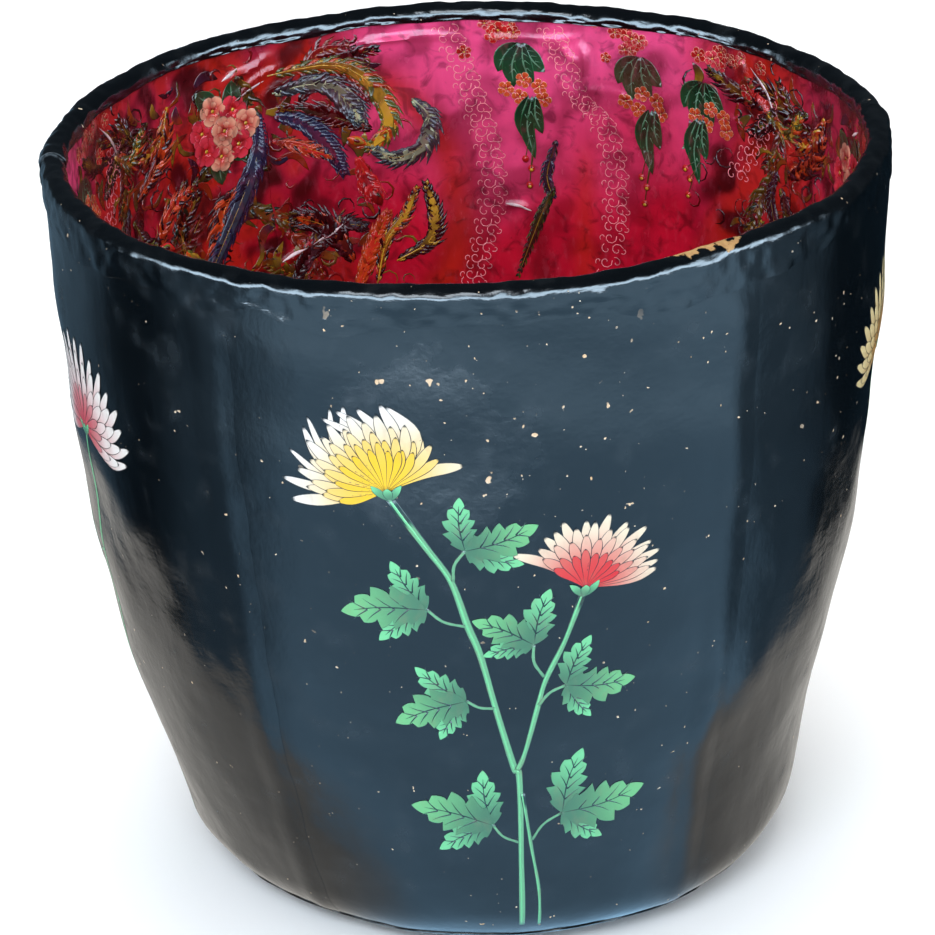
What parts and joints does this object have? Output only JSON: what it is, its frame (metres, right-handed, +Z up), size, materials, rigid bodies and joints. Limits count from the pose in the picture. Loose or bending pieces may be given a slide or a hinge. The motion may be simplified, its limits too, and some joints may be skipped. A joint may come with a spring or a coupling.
{
  "type": "lacquered papier-mache tub",
  "caption": "Round open-topped tub of laminated papier-mache: a bowed wall on a rounded foot, black lacquered paper outside, printed paper lining inside.",
  "frame": {"origin": "centre of the flat base, on the surface that the tub stands on", "axes": "+Z up through the mouth; -Y towards the front flower spray; +X to the right of it, through one lap of the rim binding"},
  "size_m": [0.4016, 0.4, 0.3658],
  "materials": {
    "pulp": "matte",
    "lacquer": "gloss",
    "printed_paper": "satin"
  },
  "bodies": {
    "root": {"core_shell": "pulp", "base_cap": "lacquer", "floor_lining": "printed_paper", "rim_binding_front": "lacquer", "rim_binding_back": "lacquer", "cover_sheet_1": "lacquer", "cover_sheet_2": "lacquer", "cover_sheet_3": "lacquer", "cover_sheet_4": "lacquer", "cover_sheet_5": "lacquer", "lining_panel_1": "printed_paper", "lining_panel_2": "printed_paper", "lining_panel_3": "printed_paper", "lining_panel_4": "printed_paper", "lining_panel_5": "printed_paper", "lining_panel_6": "printed_paper"}
  },
  "joints": []
}
